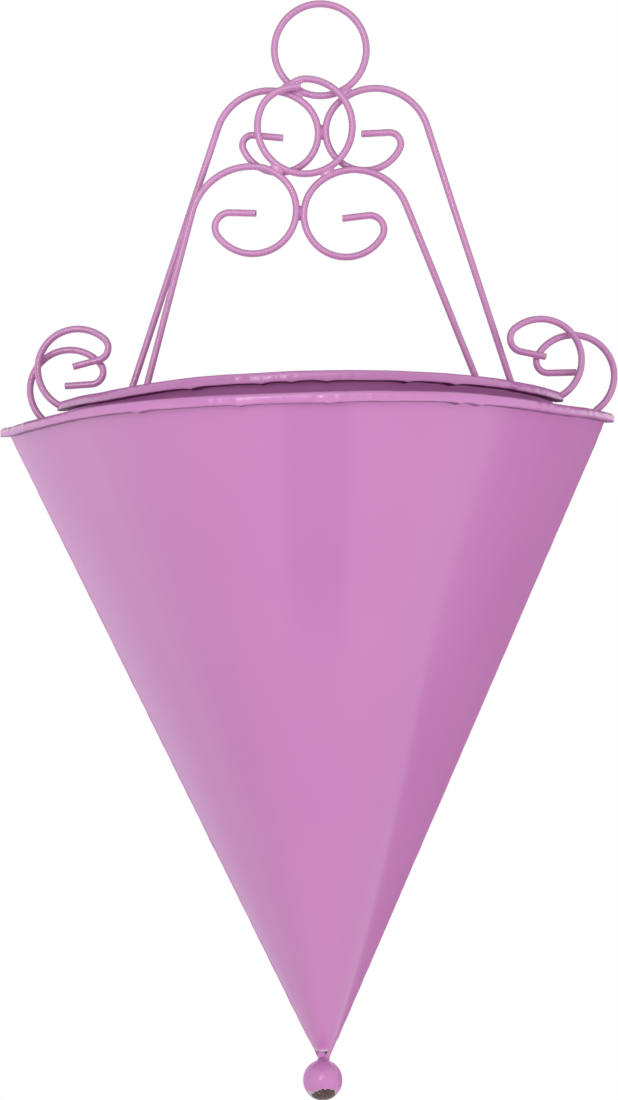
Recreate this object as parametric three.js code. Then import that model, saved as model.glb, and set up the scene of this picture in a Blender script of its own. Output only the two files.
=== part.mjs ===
// A pair of nested wall planters in wire and sheet metal, the small one standing inside the large one.
// Each has a half-cone pocket with a rolled rim, a flat back plate, a scrolled wire hanger, a ring on top,
// a curl at each corner of the rim and a ball finial under the tip.
// Millimetres, +Z up, front towards -Y. The wall is the plane y = 0, and the nail passes through the origin,
// at the inner crown of the large planter's ring.
import * as THREE from 'three';
import { mergeVertices } from 'three/addons/utils/BufferGeometryUtils.js';

// ---- Stock and fits ----
const wire_diameter = 3.4;
const sheet_thickness = 0.8;
const weld_gap = 0.3; // between pieces that are welded or folded together
const stem_clearance = 0.7; // between the finial stem and the front of the pocket's tip
const nest_clearance = 0.5; // between the two planters where they stand against each other

// ---- Pocket, the same pattern for both planters ----
const pocket_fullness = 2.6; // 2 is a parabola in plan, higher is squarer
const plate_tip_height = 4.5; // where the back plate is cut, above the point that its edges run to

// ---- Rolled rim ----
const roll_diameter = 5;
const roll_turn = 300; // degrees
const rim_wire_recess = 1.5; // inside each end of the roll

// ---- Large planter ----
const large_rim_width = 302;
const large_height = 326;
const large_depth = 150;
const large_lean = 1.45; // degrees, pocket only, top to the left
const large_hanger_offset = -1; // hanger's middle, right of the pocket's point
const large_ring_radius = 23;

// ---- Small planter ----
const small_rim_width = 246;
const small_depth = 123;
const small_lean = 1.1;
const small_hanger_offset = -10.3;
const small_ring_radius = 23.6;
const small_offset = -1.65; // its pocket's point, right of the large pocket's point
const small_rim_rise = 10.8; // its rim over the large rim

// ---- Large hanger: each wire's leg, bends and straight tail ----
const hanger_foot_depth = 25; // both hangers, below the rim on the back plate
const large_foot_inset_left = 41.5; // in from the end of the rim
const large_foot_inset_right = 43.4;
const large_leg_left = 179.8;
const large_leg_right = 180.8;
const large_shoulder_radius = 27.2;
const large_loop_radius_left = 19.6;
const large_loop_radius_right = 19.5;
const large_hook_radius_left = 5;
const large_hook_radius_right = 5.7;
const large_tail_left = 15;
const large_tail_right = 13.7;

// ---- Small hanger ----
const small_foot_inset_left = 28.7;
const small_foot_inset_right = 32;
const small_leg_left = 120.6;
const small_leg_right = 130.2;
const small_shoulder_radius_left = 30.6;
const small_shoulder_radius_right = 27.6;
const small_loop_radius_left = 21.7;
const small_loop_radius_right = 21;
const small_hook_radius_left = 7.4;
const small_hook_radius_right = 7.1;
const small_tail_left = 13;
const small_tail_right = 12.8;

// ---- Curls: the small planter's stand on the ends of its rim, so they have no leg ----
const large_curl_foot_depth = 9; // below the rim, on the back plate
const large_curl_inset_left = 20.4; // foot, in from the end of the rim
const large_curl_inset_right = 30.2;
const large_curl_leg_left = 13.1;
const large_curl_leg_right = 23.1;
const large_curl_radius_left = 20;
const large_curl_radius_right = 20.5;
const small_curl_radius_left = 20.1;
const small_curl_radius_right = 20.4;
const curl_hook_radius_left = 6.2;
const large_curl_hook_radius_right = 5.9;
const small_curl_hook_radius_right = 6.7;
const large_curl_tail_left = 13.5;
const large_curl_tail_right = 14.1;
const small_curl_tail_left = 13.4;
const small_curl_tail_right = 12.8;

// ---- Bending plans, left then right ----
// A shoulder turns the wire to heads degrees from upright. A bend is [radius, degrees].
const large_hangers = [
  {
    inset: large_foot_inset_left, leg: large_leg_left, tail: large_tail_left,
    shoulder: { radius: large_shoulder_radius, heads: 129.3 },
    bends: [[large_loop_radius_left, 207], [large_hook_radius_left, 119]],
  },
  {
    inset: large_foot_inset_right, leg: large_leg_right, tail: large_tail_right,
    shoulder: { radius: large_shoulder_radius, heads: 133.1 },
    bends: [[large_loop_radius_right, 200], [large_hook_radius_right, 120]],
  },
];
const small_hangers = [
  {
    inset: small_foot_inset_left, leg: small_leg_left, tail: small_tail_left,
    shoulder: { radius: small_shoulder_radius_left, heads: 93.6 },
    bends: [[small_loop_radius_left, 229], [small_hook_radius_left, 129]],
  },
  {
    inset: small_foot_inset_right, leg: small_leg_right, tail: small_tail_right,
    shoulder: { radius: small_shoulder_radius_right, heads: 129 },
    bends: [[small_loop_radius_right, 199], [small_hook_radius_right, 129]],
  },
];
// Curls: lean is the first run's, in degrees, negative away from the middle.
const large_curls = [
  {
    leg: large_curl_leg_left, lean: -48.1, inset: large_curl_inset_left, tail: large_curl_tail_left,
    bends: [[large_curl_radius_left, 187], [curl_hook_radius_left, 127]],
  },
  {
    leg: large_curl_leg_right, lean: -48.7, inset: large_curl_inset_right, tail: large_curl_tail_right,
    bends: [[large_curl_radius_right, 198], [large_curl_hook_radius_right, 122]],
  },
];
const small_curls = [
  {
    leg: 0, lean: -57, tail: small_curl_tail_left,
    bends: [[small_curl_radius_left, 186], [curl_hook_radius_left, 126]],
  },
  {
    leg: 0, lean: -55.4, tail: small_curl_tail_right,
    bends: [[small_curl_radius_right, 184], [small_curl_hook_radius_right, 130]],
  },
];

// ---- Ring closures, degrees anticlockwise from the right as seen from the front ----
const large_ring_joint = -104;
const small_ring_joint = 111;
const small_ring_lap = 15; // the ends lie side by side over this angle
const lap_ease = 45; // angle over which the inner end draws in

// ---- Finial ----
const ball_diameter = 19.5;
const ball_drop = 2.1; // ball's centre, below the point of the pocket
const ball_seat_depth = 2.5;
const finial_offset = -0.8;
const stem_top = 26; // above the point of the pocket, inside it
const stem_bend_height = 8;
const stem_bend_radius = 4;

// ---- Facets ----
const rim_stations = 44;
const wall_rows = 4;
const roll_facets = 12;
const wire_sides = 8;
const bend_step = 12; // degrees of bend for each length of wire
const ring_step = 10;
const ball_facets = 12;

// ---- Derived ----
const wire_radius = wire_diameter / 2;
const ball_radius = ball_diameter / 2;
const roll_radius = roll_diameter / 2;
const front_of_plate = sheet_thickness + weld_gap; // from the wall to where the pocket and the wires start
const wire_plane = front_of_plate + wire_radius;
const ball_plane = ball_radius + weld_gap;
const nest_plane = front_of_plate + wire_diameter + nest_clearance;

const enamel = { color: 0xc487bb, roughness: 0.34, metalness: 0.05 };
const enamel_light = { color: 0xcf9ac8, roughness: 0.36, metalness: 0.05 };
const bare_steel = { color: 0x7c7577, roughness: 0.5, metalness: 0.8 };

/** Distance that a sheet standing on a slope is moved upright to make its own thickness. */
function slopeShift(depth, height) {
  return sheet_thickness * Math.hypot(depth, height) / depth;
}

/** Height of the small pocket's point over the large one's, with the small ball resting in the large tip. */
function nestHeight() {
  const slope = large_depth / large_height;
  const ball_front = (ball_radius + nest_clearance) * Math.hypot(1, slope);
  const reach = nest_plane + ball_plane - front_of_plate + ball_front;
  return slopeShift(large_depth, large_height) + reach / slope + ball_drop;
}

const nest_height = nestHeight();

const large = {
  name: 'large', width: large_rim_width, height: large_height, depth: large_depth, lean: large_lean,
  hanger_offset: large_hanger_offset, hangers: large_hangers, curls: large_curls,
  ring: { radius: large_ring_radius, joint: large_ring_joint, lap: 0 },
};

const small = {
  name: 'small', width: small_rim_width, height: large_height + small_rim_rise - nest_height,
  depth: small_depth, lean: small_lean,
  hanger_offset: small_hanger_offset, hangers: small_hangers, curls: small_curls,
  ring: { radius: small_ring_radius, joint: small_ring_joint, lap: small_ring_lap },
};

function radians(degrees) {
  return THREE.MathUtils.degToRad(degrees);
}

function named(name, geometry, finish) {
  const mesh = new THREE.Mesh(geometry, new THREE.MeshStandardMaterial(finish));
  mesh.name = name;
  return mesh;
}

/** A closed mesh with one vertex at each place. */
function closed(geometry) {
  geometry.deleteAttribute('normal');
  geometry.deleteAttribute('uv');
  const merged = mergeVertices(geometry, 1e-4);
  merged.computeVertexNormals();
  return merged;
}

/** The open D of a rim in plan: x to the right, y forwards from the back plate. */
class PocketPlan extends THREE.Curve {
  constructor(half_width, depth) {
    super();
    this.half_width = half_width;
    this.depth = depth;
    this.arcLengthDivisions = 600;
  }

  getPoint(t, target = new THREE.Vector3()) {
    const share = 2 * t - 1;
    const forward = this.depth * (1 - Math.abs(share) ** pocket_fullness);
    return target.set(this.half_width * share, forward, 0);
  }

  outward(t) {
    const share = 2 * t - 1;
    const steepness = this.depth * pocket_fullness * Math.abs(share) ** (pocket_fullness - 1);
    return new THREE.Vector3(Math.sign(share) * steepness / this.half_width, 1, 0).normalize();
  }
}

/** Evenly spaced places along a pocket's rim, with what the rolled rim needs at each. */
function rimStations(planter) {
  const plan = new PocketPlan(planter.width / 2, planter.depth);
  const shift = slopeShift(planter.depth, planter.height);
  const stations = [];
  for (let i = 0; i <= rim_stations; i += 1) {
    const t = plan.getUtoTmapping(i / rim_stations);
    const point = plan.getPoint(t);
    const outward = plan.outward(t);
    const slope = Math.atan(point.dot(outward) / planter.height);
    const thickness = shift * Math.sin(slope);
    stations.push({ point, outward, slope, inner_radius: roll_radius - thickness });
  }
  return stations;
}

/** Middle of the roll at one station, the roll's top being level with the planter's height. */
function rollCentre(planter, station) {
  const height = planter.height - roll_radius;
  const leaves_wall = height + station.inner_radius * Math.sin(station.slope);
  const centre = station.point.clone().multiplyScalar(leaves_wall / planter.height);
  centre.addScaledVector(station.outward, station.inner_radius * Math.cos(station.slope));
  return centre.setZ(height);
}

/** Where the pocket's sheet is cut, so that the finial's stem passes down through the tip. */
function tipHeight(planter) {
  const room = wire_diameter + stem_clearance;
  return slopeShift(planter.depth, planter.height) + room * planter.height / planter.depth;
}

/** The sheet's two faces at one station, from the cut tip up the wall and round the roll. */
function sheetStrip(planter, station) {
  const tip = tipHeight(planter);
  const shift = slopeShift(planter.depth, planter.height);
  const centre = rollCentre(planter, station);
  const top = planter.height - roll_radius;
  const strip = [];
  for (let row = 0; row < wall_rows; row += 1) {
    const height = tip * (top / tip) ** (row / wall_rows);
    const outside = station.point.clone().multiplyScalar(height / planter.height).setZ(height);
    const inside = station.point.clone().multiplyScalar((height - shift) / planter.height).setZ(height);
    strip.push([outside, inside]);
  }
  for (let step = 0; step <= roll_facets; step += 1) {
    const angle = Math.PI - station.slope - radians(roll_turn) * step / roll_facets;
    const pair = [station.inner_radius, roll_radius].map((radius) => {
      const corner = centre.clone().addScaledVector(station.outward, radius * Math.cos(angle));
      return corner.set(corner.x, Math.max(corner.y, 0), centre.z + radius * Math.sin(angle));
    });
    strip.push(pair);
  }
  return strip;
}

/** Pocket front: the strips joined along the rim into one closed sheet with thickness. */
function pocketFront(planter) {
  const strips = rimStations(planter).map((station) => sheetStrip(planter, station));
  const rows = strips[0].length;
  const positions = [];
  for (const strip of strips) {
    for (const pair of strip) {
      for (const corner of pair) {
        positions.push(corner.x, -front_of_plate - corner.y, corner.z);
      }
    }
  }
  const index = (station, row, face) => (station * rows + row) * 2 + face;
  const triangles = [];
  const quad = (a, b, c, d) => triangles.push(a, b, c, a, c, d);
  for (let s = 0; s < rim_stations; s += 1) {
    for (let r = 0; r + 1 < rows; r += 1) {
      quad(index(s, r, 0), index(s + 1, r, 0), index(s + 1, r + 1, 0), index(s, r + 1, 0));
      quad(index(s, r, 1), index(s, r + 1, 1), index(s + 1, r + 1, 1), index(s + 1, r, 1));
    }
    quad(index(s, 0, 0), index(s, 0, 1), index(s + 1, 0, 1), index(s + 1, 0, 0));
    quad(index(s, rows - 1, 0), index(s + 1, rows - 1, 0), index(s + 1, rows - 1, 1), index(s, rows - 1, 1));
  }
  for (let r = 0; r + 1 < rows; r += 1) {
    quad(index(0, r, 0), index(0, r + 1, 0), index(0, r + 1, 1), index(0, r, 1));
    const last = rim_stations;
    quad(index(last, r, 0), index(last, r, 1), index(last, r + 1, 1), index(last, r + 1, 0));
  }
  const geometry = new THREE.BufferGeometry();
  geometry.setAttribute('position', new THREE.Float32BufferAttribute(positions, 3));
  geometry.setIndex(triangles);
  geometry.computeVertexNormals();
  return geometry;
}

/** Back plate: a flat triangle with the pocket's own edges, cut short at the tip. */
function backPlate(planter) {
  const half = planter.width / 2;
  const tip_half = half * plate_tip_height / planter.height;
  const outline = new THREE.Shape();
  outline.moveTo(-tip_half, plate_tip_height);
  outline.lineTo(tip_half, plate_tip_height);
  outline.lineTo(half, planter.height);
  outline.lineTo(-half, planter.height);
  outline.closePath();
  const geometry = new THREE.ExtrudeGeometry(outline, { depth: sheet_thickness, bevelEnabled: false });
  geometry.rotateX(Math.PI / 2);
  return closed(geometry);
}

/** Round section of a wire, with corners at its full width. */
function wireSection(radius) {
  const section = new THREE.Shape();
  for (let i = 0; i < wire_sides; i += 1) {
    const angle = 2 * Math.PI * i / wire_sides;
    const corner = [radius * Math.cos(angle), radius * Math.sin(angle)];
    if (i === 0) section.moveTo(...corner);
    else section.lineTo(...corner);
  }
  section.closePath();
  return section;
}

/** A wire of the given radius along a path, cut square at both ends. */
function wireAlong(path, radius, steps) {
  const geometry = new THREE.ExtrudeGeometry(wireSection(radius), { steps, extrudePath: path });
  return closed(geometry);
}

/** A path through given points, one step of wire from each to the next. */
class StationPath extends THREE.Curve {
  constructor(points) {
    super();
    this.points = points;
  }

  get steps() {
    return this.points.length - 1;
  }

  getPoint(t, target = new THREE.Vector3()) {
    const place = Math.min(Math.max(t, 0), 1) * this.steps;
    const before = Math.min(Math.floor(place), this.steps - 1);
    return target.copy(this.points[before]).lerp(this.points[before + 1], place - before);
  }

  /** Halfway between the runs that meet at a station. */
  getTangent(t, target = new THREE.Vector3()) {
    const here = Math.round(t * this.steps);
    const before = this.points[Math.max(here - 1, 0)];
    const after = this.points[Math.min(here + 1, this.steps)];
    const middle = this.points[here];
    const arriving = middle.clone().sub(before).normalize();
    const leaving = after.clone().sub(middle).normalize();
    return target.copy(arriving).add(leaving).normalize();
  }

  getUtoTmapping(u) {
    return u;
  }
}

/** Rim wire: lies in the middle of the roll, short of both of its ends. */
function rimWire(planter) {
  const points = rimStations(planter).map((station) => {
    const centre = rollCentre(planter, station);
    return new THREE.Vector3(centre.x, -front_of_plate - centre.y, centre.z);
  });
  const drawIn = (end, next) => end.lerp(next, rim_wire_recess / end.distanceTo(next));
  drawIn(points[0], points[1].clone());
  drawIn(points[rim_stations], points[rim_stations - 1].clone());
  const path = new StationPath(points);
  return wireAlong(path, roll_radius - sheet_thickness - weld_gap, path.steps);
}

/** Points of a bent wire in the hanger's plane, as the left-hand one of a pair; hand -1 mirrors it. */
function bentWire(bent, foot, hand) {
  const points = [foot.clone()];
  let heading = Math.PI / 2 - radians(bent.lean);
  const here = new THREE.Vector2(0, 0);
  const add = () => points.push(new THREE.Vector3(foot.x + hand * here.x, foot.y, foot.z + here.y));
  const run = (length) => {
    here.x += length * Math.cos(heading);
    here.y += length * Math.sin(heading);
    add();
  };
  if (bent.leg > 0) run(bent.leg);
  for (const [radius, turn] of bent.bends) {
    const steps = Math.ceil(turn / bend_step);
    const step = radians(turn) / steps;
    for (let i = 0; i < steps; i += 1) {
      heading -= step / 2;
      here.x += 2 * radius * Math.sin(step / 2) * Math.cos(heading);
      here.y += 2 * radius * Math.sin(step / 2) * Math.sin(heading);
      heading -= step / 2;
      add();
    }
  }
  run(bent.tail);
  return points;
}

/** A hanger wire, hand 1 from the left: its leg leans until the loop meets the hanger's middle. */
function hangerWire(planter, plan, hand) {
  const foot_x = -hand * (planter.width / 2 - plan.inset);
  const foot = new THREE.Vector3(foot_x, -wire_plane, planter.height - hanger_foot_depth);
  const leaning = (lean) => {
    const shoulder = [plan.shoulder.radius, plan.shoulder.heads - lean];
    return bentWire({ leg: plan.leg, lean, bends: [shoulder, ...plan.bends], tail: plan.tail }, foot, hand);
  };
  const reach = hand * planter.hanger_offset - wire_radius - weld_gap / 2;
  let low = -30;
  let high = 60;
  for (let i = 0; i < 40; i += 1) {
    const lean = (low + high) / 2;
    const furthest = Math.max(...leaning(lean).map((point) => hand * point.x));
    if (furthest < reach) low = lean;
    else high = lean;
  }
  return leaning(low);
}

/** Lowest centre height for a ring at x that rests on a wire from above. */
function restingHeight(points, x, reach) {
  const path = new StationPath(points);
  const heights = path.getPoints(8 * path.steps).map((point) => {
    const aside = Math.abs(point.x - x);
    return aside < reach ? point.z + Math.sqrt(reach ** 2 - aside ** 2) : -Infinity;
  });
  return Math.max(...heights);
}

/** Centre of a ring that rests on both hanger wires. */
function ringCentre(planter, left, right) {
  const reach = planter.ring.radius + wire_diameter + weld_gap;
  let low = planter.hanger_offset - planter.ring.radius;
  let high = planter.hanger_offset + planter.ring.radius;
  for (let i = 0; i < 40; i += 1) {
    const x = (low + high) / 2;
    if (restingHeight(left, x, reach) > restingHeight(right, x, reach)) low = x;
    else high = x;
  }
  return new THREE.Vector3(low, -wire_plane, restingHeight(left, low, reach));
}

/** Points of a ring bent from wire, clockwise from its joint, the far end drawn inside where it laps. */
function ringPoints(ring, centre) {
  const laps = ring.lap > 0;
  const whole = 2 * Math.PI;
  const total = laps ? whole + radians(ring.lap) : whole - weld_gap / ring.radius;
  const steps = Math.ceil(total / radians(ring_step));
  const points = [];
  for (let i = 0; i <= steps; i += 1) {
    const travelled = total * i / steps;
    const drawn_in = laps ? THREE.MathUtils.smoothstep(travelled, whole - radians(lap_ease), whole) : 0;
    const radius = ring.radius - drawn_in * (wire_diameter + weld_gap);
    const angle = radians(ring.joint) - travelled;
    const side = new THREE.Vector3(Math.cos(angle), 0, Math.sin(angle));
    points.push(centre.clone().addScaledVector(side, radius));
  }
  return points;
}

/** Direction and length of the finial stem's lower run, which points at the ball's centre. */
function stemAim() {
  const forward = ball_plane - wire_plane - stem_bend_radius;
  const down = stem_bend_height + ball_drop;
  const away = Math.hypot(forward, down);
  const turn = Math.atan2(forward, down) + Math.asin(stem_bend_radius / away);
  return { turn, reach: Math.sqrt(away ** 2 - stem_bend_radius ** 2) };
}

/** Finial stem: down the plate from inside the pocket, then forwards into the ball. */
function finialStem() {
  const { turn, reach } = stemAim();
  const points = [new THREE.Vector3(finial_offset, -wire_plane, stem_top)];
  const steps = Math.ceil(turn / radians(bend_step));
  for (let i = 0; i <= steps; i += 1) {
    const angle = turn * i / steps;
    const forward = wire_plane + stem_bend_radius * (1 - Math.cos(angle));
    const height = stem_bend_height - stem_bend_radius * Math.sin(angle);
    points.push(new THREE.Vector3(finial_offset, -forward, height));
  }
  const run = reach - ball_radius + ball_seat_depth - weld_gap;
  const last = points[points.length - 1];
  points.push(last.clone().add(new THREE.Vector3(0, -run * Math.sin(turn), -run * Math.cos(turn))));
  const path = new StationPath(points);
  return wireAlong(path, wire_radius, path.steps);
}

/** Finial ball with the stem's seat drilled along its own axis. */
function finialBall() {
  const seat_radius = wire_radius + weld_gap;
  const start = Math.asin(seat_radius / ball_radius);
  const profile = [new THREE.Vector2(0, ball_radius - ball_seat_depth)];
  profile.push(new THREE.Vector2(seat_radius, ball_radius - ball_seat_depth));
  for (let i = 0; i < ball_facets; i += 1) {
    const angle = start + (Math.PI - start) * i / ball_facets;
    profile.push(new THREE.Vector2(ball_radius * Math.sin(angle), ball_radius * Math.cos(angle)));
  }
  profile.push(new THREE.Vector2(0, -ball_radius));
  profile.reverse();
  const geometry = closed(new THREE.LatheGeometry(profile, 2 * ball_facets));
  return geometry.rotateX(Math.PI / 2 - stemAim().turn);
}

/** Foot of a curl: on the plate beside the rim's corner, or butted on the end of the roll. */
function curlFoot(planter, bent, hand) {
  if (bent.leg > 0) {
    const aside = planter.width / 2 - bent.inset;
    return new THREE.Vector3(-hand * aside, -wire_plane, planter.height - large_curl_foot_depth);
  }
  const stations = rimStations(planter);
  const end = rollCentre(planter, hand > 0 ? stations[0] : stations[rim_stations]);
  const corner = new THREE.Vector3(end.x, 0, end.z);
  corner.applyAxisAngle(new THREE.Vector3(0, 1, 0), -radians(planter.lean));
  const heading = Math.PI / 2 - radians(bent.lean);
  const standoff = roll_radius + 2 * weld_gap;
  corner.x += hand * standoff * Math.cos(heading);
  corner.z += standoff * Math.sin(heading);
  return corner.setY(-wire_plane);
}

/** The leaning part of a planter: pocket, back plate, rim wire and finial. */
function pocketGroup(planter) {
  const group = new THREE.Group();
  const stem = named(`${planter.name}_finial_stem`, finialStem(), enamel);
  const ball = named(`${planter.name}_finial_ball`, finialBall(), enamel);
  ball.position.set(finial_offset, -ball_plane, -ball_drop);
  group.add(named(`${planter.name}_front_shell`, pocketFront(planter), enamel));
  group.add(named(`${planter.name}_back_plate`, backPlate(planter), enamel));
  group.add(named(`${planter.name}_rim_wire`, rimWire(planter), bare_steel));
  group.add(stem, ball);
  group.rotation.y = -radians(planter.lean);
  return group;
}

/** One planter, with its origin on the wall side of its plate at the pocket's point. */
function buildPlanter(planter) {
  const group = new THREE.Group();
  group.add(pocketGroup(planter));
  const addWire = (name, points) => {
    const path = new StationPath(points);
    group.add(named(`${planter.name}_${name}`, wireAlong(path, wire_radius, path.steps), enamel_light));
  };
  const hangers = planter.hangers.map((plan, i) => hangerWire(planter, plan, i === 0 ? 1 : -1));
  addWire('hanger_left', hangers[0]);
  addWire('hanger_right', hangers[1]);
  const curls = planter.curls.map((bent, i) => {
    const hand = i === 0 ? 1 : -1;
    return bentWire(bent, curlFoot(planter, bent, hand), hand);
  });
  addWire('curl_left', curls[0]);
  addWire('curl_right', curls[1]);
  const centre = ringCentre(planter, ...hangers);
  addWire('ring', ringPoints(planter.ring, centre));
  return { group, crown: new THREE.Vector3(centre.x, 0, centre.z + planter.ring.radius - wire_radius) };
}

const large_built = buildPlanter(large);
const small_built = buildPlanter(small);
small_built.group.position.set(small_offset, -nest_plane, nest_height);

const wall_planters = new THREE.Group();
wall_planters.add(large_built.group, small_built.group);
wall_planters.position.copy(large_built.crown).negate();

export default wall_planters;
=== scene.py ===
"""Looks of two nested wall planters: enamelled sheet pockets with rolled rims, bent wire and ball finials.

Sizes are in millimetres times MM, in the frame of the CAD model: +Z up, front towards -Y, wall at y = 0.
A planter's own sizes are local: x across, forward from the back of its plate, height over its point.
"""
import math

import bmesh
import bpy
from mathutils import Matrix, Vector, noise


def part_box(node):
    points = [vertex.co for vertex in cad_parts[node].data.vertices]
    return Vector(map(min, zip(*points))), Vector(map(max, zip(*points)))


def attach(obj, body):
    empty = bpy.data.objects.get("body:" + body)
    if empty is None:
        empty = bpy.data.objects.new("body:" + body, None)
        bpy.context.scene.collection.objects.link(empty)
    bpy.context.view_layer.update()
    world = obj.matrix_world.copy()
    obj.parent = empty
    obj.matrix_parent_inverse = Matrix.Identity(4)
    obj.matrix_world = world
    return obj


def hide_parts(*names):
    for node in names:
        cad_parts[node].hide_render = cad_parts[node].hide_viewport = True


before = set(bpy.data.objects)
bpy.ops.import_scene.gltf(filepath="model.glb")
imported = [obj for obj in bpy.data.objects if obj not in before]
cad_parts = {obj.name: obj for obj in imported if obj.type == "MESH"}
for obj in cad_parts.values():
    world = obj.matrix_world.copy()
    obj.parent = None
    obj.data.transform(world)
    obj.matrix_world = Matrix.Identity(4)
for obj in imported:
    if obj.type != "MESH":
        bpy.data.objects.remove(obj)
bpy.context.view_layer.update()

MM = 0.001

# ---- Stock, as in the CAD model ----
WIRE_RADIUS = 1.7 * MM
SHEET = 0.8 * MM
WELD_GAP = 0.3 * MM
PLATE_FRONT = SHEET + WELD_GAP
WIRE_PLANE = PLATE_FRONT + WIRE_RADIUS
FULLNESS = 2.6  # exponent of the rim's curve in plan: 2 is a parabola, and more is fuller
ROLL_RADIUS = 2.5 * MM
ROLL_TURN = math.radians(300)
RIM_WIRE_RADIUS = ROLL_RADIUS - SHEET - WELD_GAP
RIM_WIRE_RECESS = 1.5 * MM
STEM_ROOM = 4.1 * MM
PLATE_TIP = 4.5 * MM

# ---- Finial, as in the CAD model ----
BALL_RADIUS = 9.75 * MM
BALL_FORWARD = BALL_RADIUS + WELD_GAP
BALL_DROP = 2.1 * MM
FINIAL_OFFSET = -0.8 * MM
STEM_TOP = 26 * MM
STEM_BEND_HEIGHT = 8 * MM
STEM_BEND_RADIUS = 4 * MM

# ---- Fineness ----
WIRE_SIDES = 20
BEND_STEP = math.radians(4)
LEG_STEP = 6 * MM
RIM_STATIONS = 720
LIP_ROWS = [0, 0.35 * MM, 0.8 * MM, 1.3 * MM, 2 * MM, 4 * MM, 9 * MM]
WALL_ROWS = 24
ROW_SPREAD = 0.85  # below 1 the wall's rows lie closer towards the rim
ROLL_ROWS = 26
PLATE_ROWS = 44
RIM_WIRE_STEPS = 150
PLAN_STEPS = 4000
CREASE = math.radians(38)  # an edge that turns more than this is sharp

ACROSS = Vector((1, 0, 0))
FORWARD = Vector((0, -1, 0))
UP = Vector((0, 0, 1))


class Planter:
    """One planter's sizes, with the place of its pocket read from its back plate in the CAD model.

    Its face rise is the height between the two faces of its sheet, up the middle of the pocket's front.
    """

    def __init__(self, name, width, height, depth, lean):
        self.name = name
        self.width = width
        self.height = height
        self.depth = depth
        self.face_rise = SHEET * math.hypot(depth, height) / depth
        self.body = f"{name}_planter"
        self.turn = Matrix.Rotation(-math.radians(lean), 4, "Y")
        low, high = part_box(f"{name}_back_plate")
        corners = [self.turn @ Vector((side * width / 2, 0, height)) for side in (-1, 1)]
        left = min(corner.x for corner in corners)
        top = max(corner.z for corner in corners)
        self.place = Matrix.Translation((low.x - left, high.y, high.z - top)) @ self.turn
        self.unplace = self.place.inverted()

    def node(self, part):
        """The name of one of its parts."""
        return f"{self.name}_{part}"


large = Planter("large", 302 * MM, 326 * MM, 150 * MM, 1.45)
small = Planter("small", 246 * MM, 277.9 * MM, 123 * MM, 1.1)


# ---- Materials ----

def new_material(name):
    """A new material with its nodes, links and shader."""
    material = bpy.data.materials.new(name)
    material.use_nodes = True
    nodes = material.node_tree.nodes
    return material, nodes, material.node_tree.links, nodes["Principled BSDF"]


def noise_node(nodes, links, place, scale, detail=2):
    """The strength of a noise pattern with this many cells in a metre."""
    texture = nodes.new("ShaderNodeTexNoise")
    texture.inputs["Scale"].default_value = scale
    texture.inputs["Detail"].default_value = detail
    links.new(place, texture.inputs["Vector"])
    return texture.outputs["Fac"]


def ragged_value(nodes, links, place, attribute, scale, detail, amount):
    """A piece's own value with some noise added, so that what it marks has a ragged edge."""
    value = nodes.new("ShaderNodeAttribute")
    value.attribute_name = attribute
    ragged = nodes.new("ShaderNodeMath")
    ragged.operation = "MULTIPLY_ADD"
    links.new(noise_node(nodes, links, place, scale, detail), ragged.inputs[0])
    ragged.inputs[1].default_value = amount
    links.new(value.outputs["Fac"], ragged.inputs[2])
    return ragged.outputs[0]


def ramp_node(nodes, links, value, stops):
    """A colour ramp: stops are (position, colour or grey)."""
    ramp = nodes.new("ShaderNodeValToRGB")
    elements = ramp.color_ramp.elements
    while len(elements) < len(stops):
        elements.new(0.5)
    for element, (position, colour) in zip(elements, stops):
        element.position = position
        element.color = (*colour, 1) if isinstance(colour, tuple) else (colour, colour, colour, 1)
    links.new(value, ramp.inputs["Fac"])
    return ramp.outputs["Color"]


def mix_node(nodes, links, share, first, second):
    """Colour mix: each input is a socket, a number or a colour."""
    mix = nodes.new("ShaderNodeMix")
    mix.data_type = "RGBA"
    for socket, value in ((mix.inputs[0], share), (mix.inputs[6], first), (mix.inputs[7], second)):
        if isinstance(value, bpy.types.NodeSocket):
            links.new(value, socket)
        elif isinstance(value, tuple):
            socket.default_value = (*value, 1)
        elif socket == mix.inputs[0]:
            socket.default_value = value
        else:
            socket.default_value = (value, value, value, 1)
    return mix.outputs[2]


def srgb(red, green, blue):
    """A colour on the 0 to 255 screen scale as linear light."""
    def linear(value):
        value /= 255
        return value / 12.92 if value <= 0.04045 else ((value + 0.055) / 1.055) ** 2.4
    return (linear(red), linear(green), linear(blue))


# Pale colour of worn enamel; at the pocket's tip it also paints a highlight on the flared lip.
CHIPPED_EDGE = srgb(198, 180, 190)
RUST_DARK = srgb(52, 28, 32)
RUST = srgb(84, 54, 54)
RUST_PALE = srgb(150, 128, 124)
STEEL_GREY = srgb(132, 124, 124)
# Colour and duller gloss of the painted shade under and inside the rolled rims.
PAINTED_SHADE_COLOUR = srgb(72, 26, 58)
PAINTED_SHADE_ROUGHNESS = 0.85
METAL_ROUGHNESS = 0.5
PEEL_DEPTH = 0.3 * MM


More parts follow.
